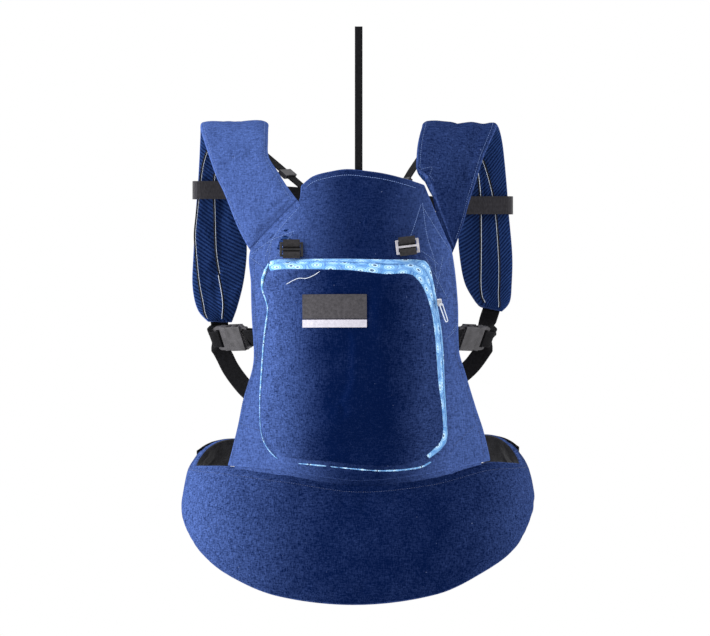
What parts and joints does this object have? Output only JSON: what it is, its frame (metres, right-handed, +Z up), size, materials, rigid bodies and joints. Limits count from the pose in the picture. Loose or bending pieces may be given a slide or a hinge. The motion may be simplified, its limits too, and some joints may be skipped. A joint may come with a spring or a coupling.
{
  "type": "soft baby carrier",
  "caption": "Soft structured baby carrier: curved denim panel with zipped pocket, padded waistband, looped padded shoulder straps, webbing and side-release buckles.",
  "frame": {"origin": "centre of the waist loop, level with the seam between body panel and waistband", "axes": "+X to the right as the panel's outer face is looked at, +Z up towards the headrest, the outer face points to -Y"},
  "size_m": [0.4876, 0.3219, 0.7843],
  "materials": {
    "denim": "woven denim, matt",
    "lining": "ribbed cotton, matt",
    "black_lining": "black mesh, matt",
    "foam": "open-cell foam",
    "printed_trim": "printed cotton, matt",
    "label": "woven label",
    "label_strip": "woven label",
    "metal": "satin",
    "plastic": "fine texture",
    "cord": "cord",
    "elastic": "knitted elastic",
    "webbing": "woven webbing"
  },
  "bodies": {
    "carrier": {"adjuster_webbing_left": "webbing", "adjuster_webbing_right": "webbing", "belt_webbing_left": "webbing", "hang_strap": "webbing", "headrest_pad": "foam", "hood_loop_left": "webbing", "hood_loop_right": "webbing", "label": "label", "label_strip": "label_strip", "leg_pad_left": "foam", "leg_pad_right": "foam", "panel_lining": "lining", "panel_outer": "denim", "pocket_front": "denim", "pocket_gusset": "printed_trim", "pocket_piping": "printed_trim", "rail_left": "cord", "rail_right": "cord", "side_anchor_left": "webbing", "side_anchor_right": "webbing", "side_buckle_left_female": "plastic", "side_buckle_right_female": "plastic", "strap_cover_left": "denim", "strap_cover_right": "denim", "strap_foam_left": "foam", "strap_foam_right": "foam", "strap_lining_left": "lining", "strap_lining_right": "lining", "waist_buckle_female": "plastic", "waistband_cover": "denim", "waistband_foam": "foam", "waistband_lining": "black_lining", "zip_teeth": "printed_trim"},
    "side_release_left": {"side_buckle_left_male": "plastic", "shoulder_webbing_left": "webbing"},
    "side_prong_a_left": {"side_buckle_left_prong_a": "plastic"},
    "side_prong_b_left": {"side_buckle_left_prong_b": "plastic"},
    "side_release_right": {"side_buckle_right_male": "plastic", "shoulder_webbing_right": "webbing"},
    "side_prong_a_right": {"side_buckle_right_prong_a": "plastic"},
    "side_prong_b_right": {"side_buckle_right_prong_b": "plastic"},
    "waist_half_right": {"waist_buckle_male": "plastic", "belt_webbing_right": "webbing"},
    "waist_prong_a": {"waist_buckle_prong_a": "plastic"},
    "waist_prong_b": {"waist_buckle_prong_b": "plastic"},
    "chest_strap": {"chest_loop_left": "elastic", "chest_loop_right": "elastic", "chest_webbing_left": "webbing", "chest_buckle_female": "plastic"},
    "chest_half_right": {"chest_buckle_male": "plastic", "chest_webbing_right": "webbing"},
    "chest_prong_a": {"chest_buckle_prong_a": "plastic"},
    "chest_prong_b": {"chest_buckle_prong_b": "plastic"},
    "zip_slider": {"zip_slider": "metal"},
    "zip_pull": {"zip_pull": "printed_trim"},
    "hood_lock_left": {"hood_lock_left": "plastic"},
    "hood_lock_right": {"hood_lock_right": "plastic"},
    "adjuster_lock_left": {"adjuster_lock_left": "plastic"},
    "adjuster_lock_right": {"adjuster_lock_right": "plastic"}
  },
  "joints": [
    {"name": "side_left_release", "type": "slide", "parent": "carrier", "child": "side_release_left", "axis": [-0.8207, 0.5705, -0.03], "range_m": [0, 0.028]},
    {"name": "side_left_prong_a_press", "type": "hinge", "parent": "side_release_left", "child": "side_prong_a_left", "pos_m": [-0.17267, -0.0614, 0.18177], "axis": [0.5022, 0.7455, 0.4382], "range_deg": [-7, 0], "stiffness_Nm_per_rad": 0.05},
    {"name": "side_left_prong_b_press", "type": "hinge", "parent": "side_release_left", "child": "side_prong_b_left", "pos_m": [-0.17769, -0.06774, 0.19829], "axis": [0.5022, 0.7455, 0.4382], "range_deg": [0, 7], "stiffness_Nm_per_rad": 0.05},
    {"name": "side_right_release", "type": "slide", "parent": "carrier", "child": "side_release_right", "axis": [0.7687, 0.6389, -0.0299], "range_m": [0, 0.028]},
    {"name": "side_right_prong_a_press", "type": "hinge", "parent": "side_release_right", "child": "side_prong_a_right", "pos_m": [0.16204, -0.06363, 0.19826], "axis": [-0.5622, 0.6972, 0.4448], "range_deg": [-7, 0], "stiffness_Nm_per_rad": 0.05},
    {"name": "side_right_prong_b_press", "type": "hinge", "parent": "side_release_right", "child": "side_prong_b_right", "pos_m": [0.15643, -0.05765, 0.1818], "axis": [-0.5622, 0.6972, 0.4448], "range_deg": [0, 7], "stiffness_Nm_per_rad": 0.05},
    {"name": "waist_release", "type": "slide", "parent": "carrier", "child": "waist_half_right", "axis": [1, 0, 0], "range_m": [0, 0.035]},
    {"name": "waist_prong_a_press", "type": "hinge", "parent": "waist_half_right", "child": "waist_prong_a", "pos_m": [0.00255, 0.142, 0.03934], "axis": [0, 1, 0], "range_deg": [-7, 0], "stiffness_Nm_per_rad": 0.05},
    {"name": "waist_prong_b_press", "type": "hinge", "parent": "waist_half_right", "child": "waist_prong_b", "pos_m": [0.00255, 0.142, 0.01266], "axis": [0, 1, 0], "range_deg": [0, 7], "stiffness_Nm_per_rad": 0.05},
    {"name": "chest_strap_height", "type": "slide", "parent": "carrier", "child": "chest_strap", "axis": [0, -0.0901, 0.9959], "range_m": [-0.03, 0]},
    {"name": "chest_release", "type": "slide", "parent": "chest_strap", "child": "chest_half_right", "axis": [0.9982, 0, -0.0599], "range_m": [0, 0.022]},
    {"name": "chest_prong_a_press", "type": "hinge", "parent": "chest_half_right", "child": "chest_prong_a", "pos_m": [-0.00837, 0.066, 0.39158], "axis": [0, 1, 0], "range_deg": [-7, 0], "stiffness_Nm_per_rad": 0.05},
    {"name": "chest_prong_b_press", "type": "hinge", "parent": "chest_half_right", "child": "chest_prong_b", "pos_m": [-0.00927, 0.066, 0.37652], "axis": [0, 1, 0], "range_deg": [0, 7], "stiffness_Nm_per_rad": 0.05},
    {"name": "zip_travel", "type": "slide", "parent": "carrier", "child": "zip_slider", "axis": [0.1326, 0.0769, -0.9882], "range_m": [0, 0.06]},
    {"name": "zip_pull_swing", "type": "hinge", "parent": "zip_slider", "child": "zip_pull", "pos_m": [0.11309, -0.14071, 0.23516], "axis": [0.4543, -0.8908, 0.0115], "range_deg": [-20, 20]},
    {"name": "hood_lock_left_tilt", "type": "hinge", "parent": "carrier", "child": "hood_lock_left", "pos_m": [-0.09059, -0.13187, 0.31027], "axis": [1, 0, 0], "range_deg": [-8, 12]},
    {"name": "hood_lock_right_tilt", "type": "hinge", "parent": "carrier", "child": "hood_lock_right", "pos_m": [0.06748, -0.13855, 0.31435], "axis": [0.9928, 0, 0.1197], "range_deg": [-12, 12]},
    {"name": "adjuster_left_slide", "type": "slide", "parent": "carrier", "child": "adjuster_lock_left", "axis": [0.6735, -0.4562, -0.5816], "range_m": [-0.008, 0.008]},
    {"name": "adjuster_right_slide", "type": "slide", "parent": "carrier", "child": "adjuster_lock_right", "axis": [-0.4723, -0.4236, -0.7729], "range_m": [0, 0.006]}
  ],
  "couplings": [
    {"joint": "side_left_prong_b_press", "follows": "side_left_prong_a_press", "ratio": -1},
    {"joint": "side_right_prong_b_press", "follows": "side_right_prong_a_press", "ratio": -1},
    {"joint": "waist_prong_b_press", "follows": "waist_prong_a_press", "ratio": -1},
    {"joint": "chest_prong_b_press", "follows": "chest_prong_a_press", "ratio": -1}
  ]
}
